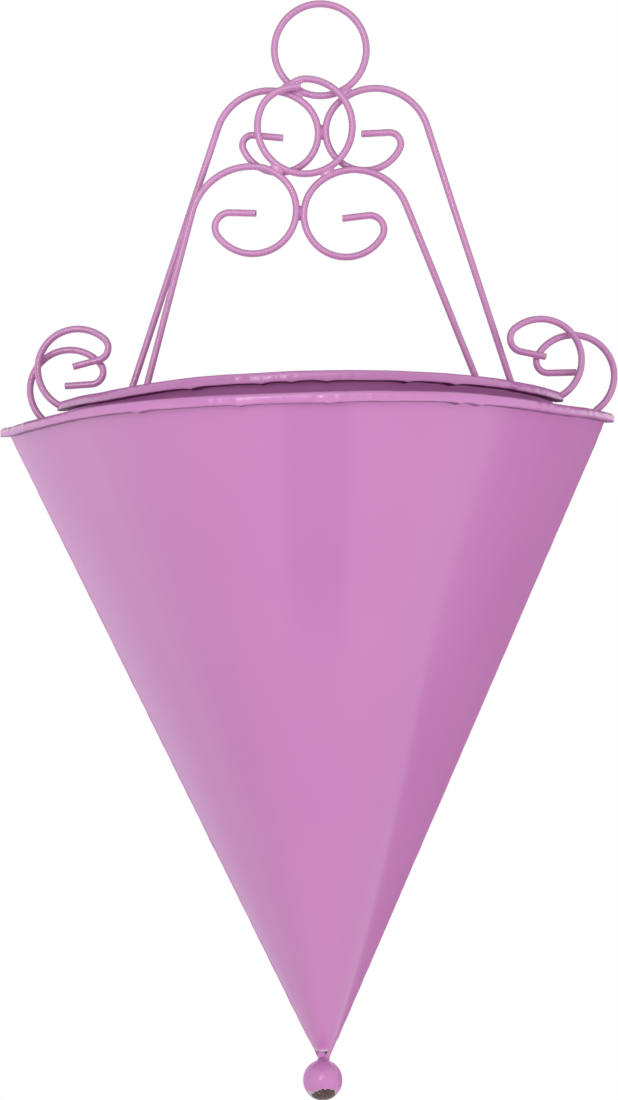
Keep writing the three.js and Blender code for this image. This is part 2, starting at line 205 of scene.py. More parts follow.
def enamel(name, colour, pale, deep, roughness, peel, coat):
    """Satin enamel over metal: faint clouds and orange peel.

    It is chipped where the piece's bare value is high, and carries painted shade, a darker colour with a
    duller gloss, where its shade value is near 1.
    """
    material, nodes, links, shader = new_material(name)
    place = nodes.new("ShaderNodeTexCoord").outputs["Object"]
    cloud = noise_node(nodes, links, place, 7)
    tint = ramp_node(nodes, links, cloud, [(0.3, deep), (0.5, colour), (0.7, pale)])

    # Painted shade: a darker colour under the rolled rims and at the small rim's ends, where shadow falls.
    painted_shade = ragged_value(nodes, links, place, "painted_shade", 130, detail=2, amount=0.12)
    painted_shade_mask = ramp_node(nodes, links, painted_shade, [(0.8, 0.0), (0.97, 0.85)])
    tint = mix_node(nodes, links, painted_shade_mask, tint, PAINTED_SHADE_COLOUR)

    worn = ragged_value(nodes, links, place, "bare", 900, detail=3, amount=0.4)
    chip = ramp_node(nodes, links, worn, [(0.42, 0.0), (0.5, 1.0)])
    deep_chip = ramp_node(nodes, links, worn, [(0.66, 0.0), (0.74, 1.0)])
    grain = noise_node(nodes, links, place, 1100, detail=3)
    metal = ramp_node(nodes, links, grain, [(0.35, RUST_DARK), (0.58, RUST), (0.74, RUST_PALE)])
    worn_tint = mix_node(nodes, links, deep_chip, CHIPPED_EDGE, metal)
    links.new(mix_node(nodes, links, chip, tint, worn_tint), shader.inputs["Base Color"])

    gloss = ramp_node(nodes, links, cloud, [(0.3, roughness - 0.03), (0.7, roughness + 0.04)])
    dulled = mix_node(nodes, links, painted_shade_mask, gloss, PAINTED_SHADE_ROUGHNESS)
    links.new(mix_node(nodes, links, deep_chip, dulled, METAL_ROUGHNESS), shader.inputs["Roughness"])

    fine = noise_node(nodes, links, place, 430)
    broad = noise_node(nodes, links, place, 120)
    ripple = mix_node(nodes, links, 0.4, fine, broad)
    bump = nodes.new("ShaderNodeBump")
    bump.inputs["Strength"].default_value = peel
    bump.inputs["Distance"].default_value = PEEL_DEPTH
    links.new(ripple, bump.inputs["Height"])
    links.new(bump.outputs["Normal"], shader.inputs["Normal"])
    links.new(bump.outputs["Normal"], shader.inputs["Coat Normal"])
    shader.inputs["Coat Weight"].default_value = coat
    shader.inputs["Coat Roughness"].default_value = 0.1
    return material


def bare_steel():
    """Grey drawn wire with brown spots."""
    material, nodes, links, shader = new_material("bare_rim_wire")
    place = nodes.new("ShaderNodeTexCoord").outputs["Object"]
    spots = noise_node(nodes, links, place, 300, detail=4)
    tint = ramp_node(nodes, links, spots, [(0.4, STEEL_GREY), (0.65, RUST)])
    links.new(tint, shader.inputs["Base Color"])
    shader.inputs["Metallic"].default_value = 0.8
    shader.inputs["Roughness"].default_value = METAL_ROUGHNESS
    return material


sheet_enamel = enamel("orchid_sheet_enamel", srgb(203, 131, 191), srgb(205, 135, 193), srgb(201, 127, 189),
                      roughness=0.2, peel=0.14, coat=0.15)
wire_enamel = enamel("orchid_wire_enamel", srgb(200, 132, 186), srgb(205, 140, 192), srgb(193, 123, 178),
                     roughness=0.22, peel=0.02, coat=0.7)
rim_wire_steel = bare_steel()


# ---- Pieces ----

def finish_piece(bm, name, body, material, replaces=(), bare=None):
    """Makes the bmesh a piece of the planter: smooth faces, sharp edges, material, body and slot.

    It stands in for the CAD nodes that it replaces, and bare says how bare it is at a place.
    """
    for face in bm.faces:
        face.smooth = True
    for edge in bm.edges:
        if len(edge.link_faces) == 2:
            edge.smooth = edge.calc_face_angle(0) < CREASE
    layer = bm.verts.layers.float.get("bare") or bm.verts.layers.float.new("bare")
    if bare is not None:
        for vert in bm.verts:
            vert[layer] = bare(vert.co)
    mesh = bpy.data.meshes.new(name)
    bm.to_mesh(mesh)
    bm.free()
    mesh.materials.append(material)
    piece = bpy.data.objects.new(name, mesh)
    bpy.context.scene.collection.objects.link(piece)
    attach(piece, body)
    if replaces:
        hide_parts(*replaces)
    return piece


def eased(share):
    """A smooth step from 0 to 1."""
    share = min(1, max(0, share))
    return share * share * (3 - 2 * share)


# ---- Wires ----

def bent_path(leg, lean, bends, tail, hand):
    """Points of a bent wire in the wall's plane from its foot at zero, hand 1 for a left-hand wire.

    Lengths and radii are in millimetres. The lean from upright and the bends' turns are in degrees.
    """
    heading = math.pi / 2 - math.radians(lean)
    here = Vector((0, 0, 0))
    points = [here.copy()]

    def run(length):
        steps = max(1, round(length / LEG_STEP))
        for _ in range(steps):
            here.x += hand * length / steps * math.cos(heading)
            here.z += length / steps * math.sin(heading)
            points.append(here.copy())

    if leg:
        run(leg * MM)
    for radius, degrees in bends:
        steps = math.ceil(math.radians(degrees) / BEND_STEP)
        step = math.radians(degrees) / steps
        chord = 2 * radius * MM * math.sin(step / 2)
        for _ in range(steps):
            heading -= step / 2
            here.x += hand * chord * math.cos(heading)
            here.z += chord * math.sin(heading)
            heading -= step / 2
            points.append(here.copy())
    run(tail * MM)
    return points


def placed(points, node, side):
    """Moves a path to its CAD node: level with its top, and against its low x (side -1) or high x (1)."""
    low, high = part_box(node)
    top = max(point.z for point in points)
    reach = max(side * point.x for point in points)
    edge = high.x if side > 0 else low.x
    shift = Vector((edge - side * (reach + WIRE_RADIUS), (low.y + high.y) / 2, high.z - WIRE_RADIUS - top))
    return [point + shift for point in points]


def path_frames(points):
    """A matrix at each point of a path: Z along it, Y kept as near as can be to the wall's normal."""
    frames = []
    for i, point in enumerate(points):
        along = (points[min(i + 1, len(points) - 1)] - points[max(i - 1, 0)]).normalized()
        across = FORWARD.cross(along)
        if across.length < 0.1:
            across = ACROSS.copy()
        across.normalize()
        normal = along.cross(across)
        turn = Matrix((across, normal, along)).transposed().to_4x4()
        frames.append(Matrix.Translation(point) @ turn)
    return frames


def swept(points, radii, sides=WIRE_SIDES, end_round=0.3 * MM):
    """A closed round bar along a path, one radius for each point, with its end edges rounded off."""
    frames = path_frames(points)
    bm = bmesh.new()
    ring = bmesh.ops.create_circle(bm, segments=sides, radius=1)["verts"]
    bmesh.ops.transform(bm, matrix=frames[0] @ Matrix.Scale(radii[0], 4), verts=ring)
    first = ring
    for before, here, wide, narrow in zip(frames, frames[1:], radii, radii[1:]):
        edges = [e for e in bm.edges if e.verts[0] in ring and e.verts[1] in ring]
        made = bmesh.ops.extrude_edge_only(bm, edges=edges)["geom"]
        ring = [item for item in made if isinstance(item, bmesh.types.BMVert)]
        move = here @ Matrix.Scale(narrow / wide, 4) @ before.inverted()
        bmesh.ops.transform(bm, matrix=move, verts=ring)
    caps = [bmesh.ops.contextual_create(bm, geom=end)["faces"][0] for end in (first, ring)]
    bmesh.ops.recalc_face_normals(bm, faces=bm.faces)
    if end_round:
        rims = [edge for cap in caps for edge in cap.edges]
        bmesh.ops.bevel(bm, geom=rims, offset=end_round, segments=2, profile=0.5, affect="EDGES", material=-1)
    return bm


STRAY = 0.12 * MM
END_STEPS = [0.5 * MM, 1.1 * MM, 2 * MM]
END_WEAR = 0.3
END_WEAR_FADE = 1 * MM
END_WEAR_REACH = 5 * MM
# Where no seed is set, noise_vector takes one from the clock, and the wires stray another way each run.
STRAY_SEED = 1
noise.seed_set(STRAY_SEED)


def wavered(points, seed):
    """A hand-bent path: it strays a little from the drawn one, but not at its foot."""
    strayed = []
    for i, point in enumerate(points):
        ease = min(1, i / 6)
        drift = noise.noise_vector(point * 22 + Vector((seed * 7.3, 0, 0)))
        strayed.append(point + Vector((drift.x, drift.y * 0.4, drift.z)) * STRAY * ease)
    return strayed


def end_stepped(points):
    """Adds close points just inside both ends of a path, where the cut ends are worn."""
    def inside(end, beyond):
        along = (beyond - end).normalized()
        room = (beyond - end).length
        return [end + along * step for step in END_STEPS if step < room * 0.8]
    head = [points[0]] + inside(points[0], points[1])
    tail = inside(points[-1], points[-2])[::-1] + [points[-1]]
    return head + points[1:-1] + tail


def worn_ends(points, seed):
    """How bare a wire is: patches of grey metal at its two cut ends."""
    def bare(place):
        near = min((place - points[0]).length, (place - points[-1]).length)
        if near >= END_WEAR_REACH:
            return 0
        patch = noise.noise(place * 700 + Vector((seed, 0, 0)))
        return max(0, END_WEAR - (near - WIRE_RADIUS) / END_WEAR_FADE + patch * 0.5)
    return bare


# Each wire's path, and the side of its CAD node that it is set against: low x is -1 and high x is 1.
WIRES = {
    "large_hanger_left": (bent_path(179.8, 18.3, [(27.2, 111), (19.6, 207), (5, 119)], 15, 1), 1),
    "large_hanger_right": (bent_path(180.8, 18.1, [(27.2, 115), (19.5, 200), (5.7, 120)], 13.7, -1), -1),
    "small_hanger_left": (bent_path(120.6, 14.6, [(30.6, 79), (21.7, 229), (7.4, 129)], 13, 1), 1),
    "small_hanger_right": (bent_path(130.2, 22, [(27.6, 107), (21, 199), (7.1, 129)], 12.8, -1), -1),
    "large_curl_left": (bent_path(13.1, -48.1, [(20, 187), (6.2, 127)], 13.5, 1), -1),
    "large_curl_right": (bent_path(23.1, -48.7, [(20.5, 198), (5.9, 122)], 14.1, -1), 1),
    "small_curl_left": (bent_path(0, -66, [(20.1, 195), (6.2, 126)], 13.4, 1), -1),
    "small_curl_right": (bent_path(0, -63.4, [(20.4, 192), (6.7, 130)], 12.8, -1), 1),
}
paths = {}
for order, (node, (points, side)) in enumerate(WIRES.items()):
    paths[node] = end_stepped(wavered(placed(points, node, side), order))
    bm = swept(paths[node], [WIRE_RADIUS] * len(paths[node]))
    finish_piece(bm, f"{node}_wire", f"{node.split('_')[0]}_planter", wire_enamel,
                 replaces=[node], bare=worn_ends(paths[node], order))


# ---- Rings ----

LAP_END_EASE = math.radians(60)
LAP_START_EASE = math.radians(26)
LAP_CLEARANCE = 0.1 * MM
LAP_START_DRAWN = 1.5 * MM
LAP_START_BACK = 1.3 * MM


def ring_path(node, radius, joint, lap=0):
    """Points of a ring bent clockwise from its joint, with its ends drawn together where they lap.

    The joint's direction from the centre and the length of the lap are in degrees.
    """
    low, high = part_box(node)
    centre = Vector((low.x + WIRE_RADIUS + radius, (low.y + high.y) / 2, low.z + WIRE_RADIUS + radius))
    total = 2 * math.pi + math.radians(lap)
    steps = math.ceil(total / BEND_STEP)
    points = []
    for i in range(steps + 1):
        travelled = total * i / steps
        drawn = 0
        back = 0
        if lap:
            ending = eased(1 - (total - travelled) / LAP_END_EASE)
            starting = eased(1 - travelled / LAP_START_EASE)
            drawn = ending * (2 * WIRE_RADIUS + LAP_CLEARANCE) + starting * LAP_START_DRAWN
            back = starting * LAP_START_BACK
        angle = math.radians(joint) - travelled
        spot = centre + (radius - drawn) * Vector((math.cos(angle), 0, math.sin(angle)))
        points.append(spot - FORWARD * back)
    return points


paths["large_ring"] = ring_path("large_ring", 23 * MM, -104)
paths["small_ring"] = end_stepped(ring_path("small_ring", 23.6 * MM, 116, lap=20))
for planter in (large, small):
    node = planter.node("ring")
    bm = swept(paths[node], [WIRE_RADIUS] * len(paths[node]))
    finish_piece(bm, f"{node}_wire", planter.body, wire_enamel,
                 replaces=[node], bare=worn_ends(paths[node], 9) if planter is small else None)


# ---- Welds ----

WELD_REACH = 7 * MM
SLEEVE_PROUD = 0.1 * MM
SLEEVE_SUNK = 0.45 * MM
# Beads of the lap weld: how far along the strand, how far down, half length and radius, in millimetres.
LAP_BEADS = [(-2.6, 0.5, 2.2, 1.5), (-0.4, -0.3, 1.6, 1.9), (1.7, 0.7, 1.7, 1.6), (3.6, -0.2, 1.3, 1.3),
             (5.6, 0.8, 1.9, 1.1), (8.2, 1.3, 1.7, 0.9)]
LAP_PROUD = 0.4 * MM
LAP_REACH = 6 * MM
FOOT_BEAD_HALF_LENGTH = 3.2 * MM
FOOT_BEAD_RADIUS = 2.5 * MM
FOOT_BEAD_BACK = 1.5 * MM
FOOT_REACH = 9 * MM
FOOT_SLEEVE_SUNK = 0.1 * MM


def bead(centre, along, half_length, radius, flat=1):
    """An oval bead of weld metal, flat as a share of its radius towards the wall."""
    bm = bmesh.new()
    bmesh.ops.create_icosphere(bm, subdivisions=3, radius=1)
    side = FORWARD.cross(along).normalized()
    turn = Matrix((side, FORWARD, along.normalized())).transposed().to_4x4()
    size = Matrix.Diagonal((radius, radius * flat, half_length, 1))
    bmesh.ops.transform(bm, matrix=Matrix.Translation(centre) @ turn @ size, verts=bm.verts)
    return bm


def sleeve(path, spot, reach, proud=SLEEVE_PROUD):
    """Weld metal that creeps along a wire from a spot and thins out."""
    stretch = [point for point in path if (point - spot).length < reach]
    if len(stretch) < 3:
        return []
    radii = []
    for point in stretch:
        away = (point - spot).length / reach
        radii.append(WIRE_RADIUS + proud - (proud + SLEEVE_SUNK) * away ** 2)
    return [swept(stretch, radii, sides=14, end_round=0)]


def melted(parts, name, planter, voxel=0.36 * MM, rounds=12):
    """Runs overlapping solids together into one skin and smooths it, as weld metal flows."""
    bm = bmesh.new()
    for part in parts:
        mesh = bpy.data.meshes.new("weld_part")
        part.to_mesh(mesh)
        part.free()
        bm.from_mesh(mesh)
        bpy.data.meshes.remove(mesh)
    piece = finish_piece(bm, name, planter.body, wire_enamel)
    remesh = piece.modifiers.new("flow", "REMESH")
    remesh.mode = "VOXEL"
    remesh.voxel_size = voxel
    remesh.use_smooth_shade = True
    smooth = piece.modifiers.new("settle", "SMOOTH")
    smooth.factor = 0.5
    smooth.iterations = rounds
    bpy.context.view_layer.update()
    graph = bpy.context.evaluated_depsgraph_get()
    mesh = bpy.data.meshes.new_from_object(piece.evaluated_get(graph))
    piece.modifiers.clear()
    piece.data = mesh
    mesh.materials.clear()
    mesh.materials.append(wire_enamel)


def closest_pair(first, second):
    """The places in two paths where they lie closest."""
    pairs = ((i, j) for i in range(len(first)) for j in range(len(second)))
    return min(pairs, key=lambda pair: (first[pair[0]] - second[pair[1]]).length)


def touch_weld(name, planter, path_names, half_length, radius, back=0):
    """Weld along the stretch where two wires touch, set back towards the wall."""
    first, second = (paths[path_name] for path_name in path_names)
    i, j = closest_pair(first, second)
    spot = (first[i] + second[j]) / 2 - FORWARD * back
    along = first[min(i + 1, len(first) - 1)] - first[max(i - 1, 0)]
    along.y = 0
    parts = [bead(spot, along, half_length, radius)]
    parts += sleeve(first, spot, WELD_REACH) + sleeve(second, spot, WELD_REACH)
    melted(parts, name, planter)


for planter in (large, small):
    left, right, ring = (planter.node(part) for part in ("hanger_left", "hanger_right", "ring"))
    touch_weld(planter.node("loop_weld"), planter, (left, right), 4.2 * MM, 0.8 * MM, back=0.8 * MM)
    touch_weld(planter.node("ring_weld_left"), planter, (ring, left), 3.8 * MM, 1.5 * MM)
    touch_weld(planter.node("ring_weld_right"), planter, (ring, right), 3.8 * MM, 1.5 * MM)


def lap_weld(planter):
    """Weld that closes the lap of the small ring, over the end of its upper strand."""
    path = paths[planter.node("ring")]
    start = path[0]
    lower = min(path[len(path) // 2:], key=lambda point: (point - start).length)
    along = (path[4] - path[0]).normalized()
    middle = (start + lower) / 2
    down = along.cross(FORWARD)
    parts = []
    for travel, drop, half_length, radius in LAP_BEADS:
        spot = middle + (along * travel + down * drop) * MM + FORWARD * LAP_PROUD
        parts.append(bead(spot, along, half_length * MM, radius * MM))
    parts += sleeve(path[:12], start, LAP_REACH) + sleeve(path[-24:], lower, LAP_REACH)
    melted(parts, planter.node("lap_weld"), planter, voxel=0.3 * MM, rounds=4)


lap_weld(small)


def foot_welds(planter, part, steps):
    """Beads that hold a wire's foot to the plate behind it, at steps in millimetres up from the foot."""
    path = paths[planter.node(part)]
    along = (path[6] - path[3]).normalized()
    parts = []
    for step in steps:
        spot = path[0] + along * step * MM - FORWARD * FOOT_BEAD_BACK
        parts.append(bead(spot, along, FOOT_BEAD_HALF_LENGTH, FOOT_BEAD_RADIUS, flat=0.5))
    parts += sleeve(path[:10], path[0], FOOT_REACH, proud=-FOOT_SLEEVE_SUNK)
    melted(parts, planter.node(f"{part}_foot_weld"), planter)


for planter in (large, small):
    for part in ("hanger_left", "hanger_right"):
        foot_welds(planter, part, (2.5, 9))
for part in ("curl_left", "curl_right"):
    foot_welds(large, part, (2.5,))


# ---- Pockets ----

def plan_stations(planter, count):
    """Evenly spaced places round the pocket's rim.

    Each has how far across it is (-1 to 1), the point, its outward normal and how far the nearer end of the
    rim is.
    """
    half = planter.width / 2
    shares = [2 * i / PLAN_STEPS - 1 for i in range(PLAN_STEPS + 1)]
    spots = [Vector((half * s, planter.depth * (1 - abs(s) ** FULLNESS))) for s in shares]
    lengths = [0]
    for before, here in zip(spots, spots[1:]):
        lengths.append(lengths[-1] + (here - before).length)
    stations = []
    k = 0
    for i in range(count + 1):
        target = lengths[-1] * i / count
        while k < PLAN_STEPS - 1 and lengths[k + 1] < target:
            k += 1
        part = (target - lengths[k]) / (lengths[k + 1] - lengths[k])
        share = shares[k] + (shares[k + 1] - shares[k]) * part
        point = Vector((half * share, planter.depth * (1 - abs(share) ** FULLNESS)))
        steep = planter.depth * FULLNESS * abs(share) ** (FULLNESS - 1) / half
        outward = Vector((math.copysign(steep, share), 1)).normalized()
        stations.append((share, point, outward, min(target, lengths[-1] - target)))
    return stations


OPEN_REACH = 7 * MM
TORN_REACH = 5 * MM


class Rim:
    """How a hand-rolled rim strays from the drawn one, by the distance in millimetres right of its middle.

    At a kink the hem dips to a point. A pressed stretch is rounder below. Opened is how many degrees less the
    sheet is turned over at its two ends. Torn is how many millimetres short its right-hand end is. Droops are
    pairs of a distance and a fall, in millimetres.
    """

    def __init__(self, seed, kinks, pressed, opened, torn, droops):
        self.seed = seed
        self.kinks = kinks
        self.pressed = pressed
        self.opened = opened
        self.torn = torn
        self.droops = droops

    def wave(self, x, length, row):
        """Smooth noise along the rim, with a wave length in millimetres and its own pattern for each row."""
        return noise.noise(Vector((x / length + self.seed, row * 3.7, self.seed)))

    def top(self, x):
        """Rise of the roll's top, mostly downwards."""
        return (0.2 * self.wave(x, 34, 0) + 0.1 * self.wave(x, 11, 1) - 0.12) * MM

    def droop(self, x):
        """Fall of the whole rim below its drawn line."""
        for (start, fall), (stop, next_fall) in zip(self.droops, self.droops[1:]):
            if x <= stop:
                return (fall + (next_fall - fall) * eased((x - start) / (stop - start))) * MM
        return self.droops[-1][1] * MM

    def hem(self, x):
        """Rise of the roll's lower edge."""
        rise = 0.2 * self.wave(x, 27, 2) + 0.12 * self.wave(x, 6, 3)
        away = min(abs(x - kink) for kink in self.kinks)
        return (rise + 0.3 - 0.8 * math.exp(-away / 1.9)) * MM

    def crimp(self, x):
        """How far the roll's face stands in or out."""
        return (0.28 * self.wave(x, 9, 4) + 0.36 * self.wave(x, 2.6, 5)) * MM

    def squareness(self, x):
        """Exponents of the roll's section above and below its middle: 2 is round, and higher is squarer."""
        start, stop = self.pressed
        inside = eased((x - start) / 6) * eased((stop - x) / 6)
        return 2.7, 7 - 4.2 * inside

    def turn(self, from_end):
        """How far the sheet is turned over, less at the rim's open ends."""
        return ROLL_TURN - math.radians(self.opened) * eased(1 - from_end / OPEN_REACH)


RIMS = {
    "large": Rim(seed=3.1, kinks=[-70.7, -27.8, 9, 62.8, 72], pressed=(-24, 8), opened=60, torn=1.7,
                 droops=[(-151, 0.3), (-142, 1), (-128, 0.9), (-90, 0), (50, 0), (116, 1.85), (137, 1.1),
                         (151, 0.8)]),
    "small": Rim(seed=8.4, kinks=[-50, -20.6, -8, 7.1, 40.6, 61.4], pressed=(84, 96), opened=30, torn=0,
                 droops=[(-123, 0), (-112, 0.4), (-92, 1.3), (-30, 0.3), (-4, -0.4), (30, 0), (123, 0)]),
}

# Painted shade under a roll, where its shadow falls: the depth that it fades over, and for each planter how
# many times faster it does so, how low on the roll it starts (0 is the roll's middle and 1 its bottom) and
# the most that there is.
PAINTED_SHADE_FADE = 8 * MM
PAINTED_SHADE_THINNING = {"large": 4.5, "small": 1.0}
PAINTED_SHADE_START = {"large": 0.92, "small": 0.6}
PAINTED_SHADE_MOST = {"large": 0.85, "small": 1.0}
# How much less its thinning and its start are at the ends of the small rim, and how far from them.
PAINTED_SHADE_END_THINNING = 0.55
PAINTED_SHADE_END_START = 0.5
PAINTED_SHADE_END_REACH = 60 * MM
# How much less painted shade there is where it starts than at the bottom, and the most inside the pocket.
PAINTED_SHADE_FAINTER = 0.25
PAINTED_SHADE_MOST_INSIDE = 0.75
TIP_DROP = 5 * MM
LIP_FLARE = 1.1 * MM
LIP_FLARE_HEIGHT = 2.4 * MM
ROUND_STEPS = 4
BUCKLE = 0.3 * MM
PLATE_BOW = 0.28 * MM
PLATE_ROUND = 0.25 * MM


def tip_cut(planter, share):
    """Height of the cut at the pocket's tip: level in front of the stem, and lower to the right of it."""
    level = planter.face_rise + STEM_ROOM * planter.height / planter.depth
    return level - TIP_DROP * eased((share - 0.35) / 0.4)


def roll_centre(planter, point, outward):
    """The wall's slope at a station, and the point in plan and the height of the roll's centre."""
    slope = math.atan(point.dot(outward) / planter.height)
    inner = ROLL_RADIUS - planter.face_rise * math.sin(slope)
    height = planter.height - ROLL_RADIUS
    leaves = height + inner * math.sin(slope)
    centre = point * (leaves / planter.height) + outward * inner * math.cos(slope)
    return slope, centre, height


def rolled_section(planter, station, rim):
    """Local points of the sheet's inner face at one station, from the cut tip up and over the roll."""
    share, point, outward, from_end = station
    x = point.x / MM
    slope, centre, centre_z = roll_centre(planter, point, outward)
    tip = tip_cut(planter, share)
    section = []
    start = tip + LIP_ROWS[-1]
    heights = [tip + step for step in LIP_ROWS]
    for row in range(1, WALL_ROWS):
        heights.append(start + (centre_z - start) * (row / WALL_ROWS) ** ROW_SPREAD)
    # The lip flares to the left of the stem, and is straight at the left edge.
    flare = LIP_FLARE * eased((0.5 - share) / 0.4) * eased((share + 1) / 0.5)
    for height in heights:
        across = point * ((height - planter.face_rise) / planter.height)
        across += outward * flare * max(0, 1 - (height - tip) / LIP_FLARE_HEIGHT) ** 2
        section.append(Vector((across.x, across.y, height)))
    top_stray, hem_stray, crimp = rim.top(x), rim.hem(x), rim.crimp(x)
    above, below = (2 / exponent for exponent in rim.squareness(x))
    turn = rim.turn(from_end)
    # The roll starts round, where the wall runs into it, and takes its own section over the next steps.
    for step in range(ROLL_ROWS + 1):
        angle = math.pi - slope - turn * step / ROLL_ROWS
        power = above if math.sin(angle) > 0 else below
        reach = math.copysign(abs(math.cos(angle)) ** power, math.cos(angle)) * ROLL_RADIUS
        rise = math.copysign(abs(math.sin(angle)) ** power, math.sin(angle)) * ROLL_RADIUS
        blend = min(1, step / ROUND_STEPS)
        reach = reach * blend + math.cos(angle) * ROLL_RADIUS * (1 - blend)
        rise = rise * blend + math.sin(angle) * ROLL_RADIUS * (1 - blend)
        facing = max(0, math.cos(angle)) ** 0.5
        rise += top_stray * max(0, math.sin(angle)) + hem_stray * max(0, -math.sin(angle)) ** 0.5
        reach += facing * crimp
        spot = centre + outward * reach
        if share > 0:
            short = rim.torn * (0.7 + noise.noise(Vector((reach, rise, 0)) * 500)) * MM
            spot.x -= short * eased(1 - from_end / TORN_REACH)
        section.append(Vector((spot.x, max(spot.y, 0), centre_z + rise)))
    return section


# Pale band at the cut of the tip: worn enamel, and partly a painted highlight where the flared lip catches
# the light.
TIP_WEAR_AND_HIGHLIGHT = 0.45
TIP_WEAR_AND_HIGHLIGHT_FADE = 5 * MM
TIP_WEAR_AND_HIGHLIGHT_TOP = 14 * MM
CORNER_WEAR = 0.75
CORNER_WEAR_FADE = 7 * MM
CORNER_WEAR_REACH = 8 * MM


def worn_shell(planter):
    """How bare the pocket is: at the cut of its tip, whose pale band is worn enamel and partly a painted
    highlight on the flared lip, and at the right-hand end of its roll.
    """
    half = planter.width / 2
    corner = Vector((half + 3 * MM, -PLATE_FRONT, planter.height - ROLL_RADIUS))

    def bare(place):
        local = planter.unplace @ place
        patch = noise.noise(local * 400)
        if local.z < TIP_WEAR_AND_HIGHLIGHT_TOP:
            cut = tip_cut(planter, local.x / half * planter.height / max(local.z, 8 * MM))
            return max(0, TIP_WEAR_AND_HIGHLIGHT - max(0, local.z - cut) / TIP_WEAR_AND_HIGHLIGHT_FADE + 0.2 * patch)
        away = (local - corner).length
        if away >= CORNER_WEAR_REACH:
            return 0
        return max(0, CORNER_WEAR - away / CORNER_WEAR_FADE + 0.25 * patch)
    return bare


def wall_painted_shade(planter, station, rim, height):
    """Painted shade on the wall below the roll, where the roll's shadow falls: 1 at the roll's lower edge,
    and less below it.
    """
    hem = planter.height - 2 * ROLL_RADIUS + rim.hem(station[1].x / MM)
    thinning = PAINTED_SHADE_THINNING[planter.name]
    if planter is small:
        thinning -= PAINTED_SHADE_END_THINNING * eased(1 - station[3] / PAINTED_SHADE_END_REACH)
    return 1 - (hem - height) * thinning / PAINTED_SHADE_FADE


def roll_painted_shade(planter, station, step):
    """Painted shade on the roll's underside, which is turned from the light: 1 at its bottom and inside it,
    and more at the small rim's ends.
    """
    _, point, outward, from_end = station
    angle = math.pi - math.atan(point.dot(outward) / planter.height) - ROLL_TURN * step / ROLL_ROWS
    low = -math.sin(angle) if angle > -math.pi / 2 else 1
    start = PAINTED_SHADE_START[planter.name]
    if planter is small:
        start -= PAINTED_SHADE_END_START * eased(1 - from_end / PAINTED_SHADE_END_REACH)
    return 1 - PAINTED_SHADE_FAINTER * (1 - low) / (1 - start)


def rim_wire(planter):
    """Wire inside the roll, which droops with it."""
    rim = RIMS[planter.name]
    points = []
    for _, point, outward, from_end in plan_stations(planter, RIM_WIRE_STEPS):
        if from_end < RIM_WIRE_RECESS:
            continue
        _, centre, centre_z = roll_centre(planter, point, outward)
        forward = PLATE_FRONT + max(centre.y, ROLL_RADIUS)
        points.append(planter.place @ Vector((centre.x, -forward, centre_z - rim.droop(point.x / MM))))
    bm = swept(points, [RIM_WIRE_RADIUS] * len(points), sides=12)
    finish_piece(bm, planter.node("rim_wire_bar"), planter.body, rim_wire_steel,
                 replaces=[planter.node("rim_wire")])


def pocket_front(planter):
    """Pocket front: a sheet blank, bent to the half cone and rolled over at the rim."""
    rim = RIMS[planter.name]
    stations = plan_stations(planter, RIM_STATIONS)
    sections = [rolled_section(planter, station, rim) for station in stations]
    rows = len(sections[0])
    wall_rows = rows - ROLL_ROWS - 1
    bm = bmesh.new()
    bmesh.ops.create_grid(bm, x_segments=RIM_STATIONS, y_segments=rows - 1, size=0.5)
    # Painted shade under the roll, where its shadow falls, kept on each point.
    painted_shade = bm.verts.layers.float.new("painted_shade")
    for vert in bm.verts:
        i = round((vert.co.x + 0.5) * RIM_STATIONS)
        j = round((vert.co.y + 0.5) * (rows - 1))
        spot = sections[i][j]
        # The wall buckles a little, but not at its tip, its rim or the plate.
        buckle = noise.noise(Vector((spot.x * 14, spot.y * 14, spot.z * 9))) * BUCKLE
        inside = min(1, spot.z / (60 * MM)) * min(1, max(0, planter.height - spot.z) / (30 * MM))
        forward = spot.y + buckle * inside * min(1, spot.y / (12 * MM))
        gap = WELD_GAP * min(1, forward / (2 * MM))
        if j < wall_rows:
            painted_shade_value = wall_painted_shade(planter, stations[i], rim, spot.z)
        else:
            painted_shade_value = roll_painted_shade(planter, stations[i], j - wall_rows)
        vert[painted_shade] = min(painted_shade_value, PAINTED_SHADE_MOST[planter.name])
        # The wall takes up the rim's droop over its upper part.
        near_rim = eased((spot.z / planter.height - 0.7) / 0.26)
        drop = rim.droop(stations[i][1].x / MM) * near_rim
        vert.co = Vector((spot.x, -SHEET - gap - forward, spot.z - drop))
    bmesh.ops.recalc_face_normals(bm, faces=bm.faces)
    bm.faces.ensure_lookup_table()
    wall = [face for face in bm.faces if abs(face.calc_center_median().z - planter.height / 2) < 12 * MM]
    middle = min(wall, key=lambda face: abs(face.calc_center_median().x))
    if middle.normal.y < 0:
        bmesh.ops.reverse_faces(bm, faces=bm.faces)
    skin = set(bm.verts)
    bmesh.ops.solidify(bm, geom=bm.faces[:], thickness=SHEET)
    # The inside of the pocket gets less of the painted shade.
    for vert in bm.verts:
        if vert not in skin:
            vert[painted_shade] = min(vert[painted_shade], PAINTED_SHADE_MOST_INSIDE)
    bmesh.ops.transform(bm, matrix=planter.place, verts=bm.verts)
    finish_piece(bm, planter.node("pocket_front"), planter.body, sheet_enamel,
                 replaces=[planter.node("front_shell")], bare=worn_shell(planter))


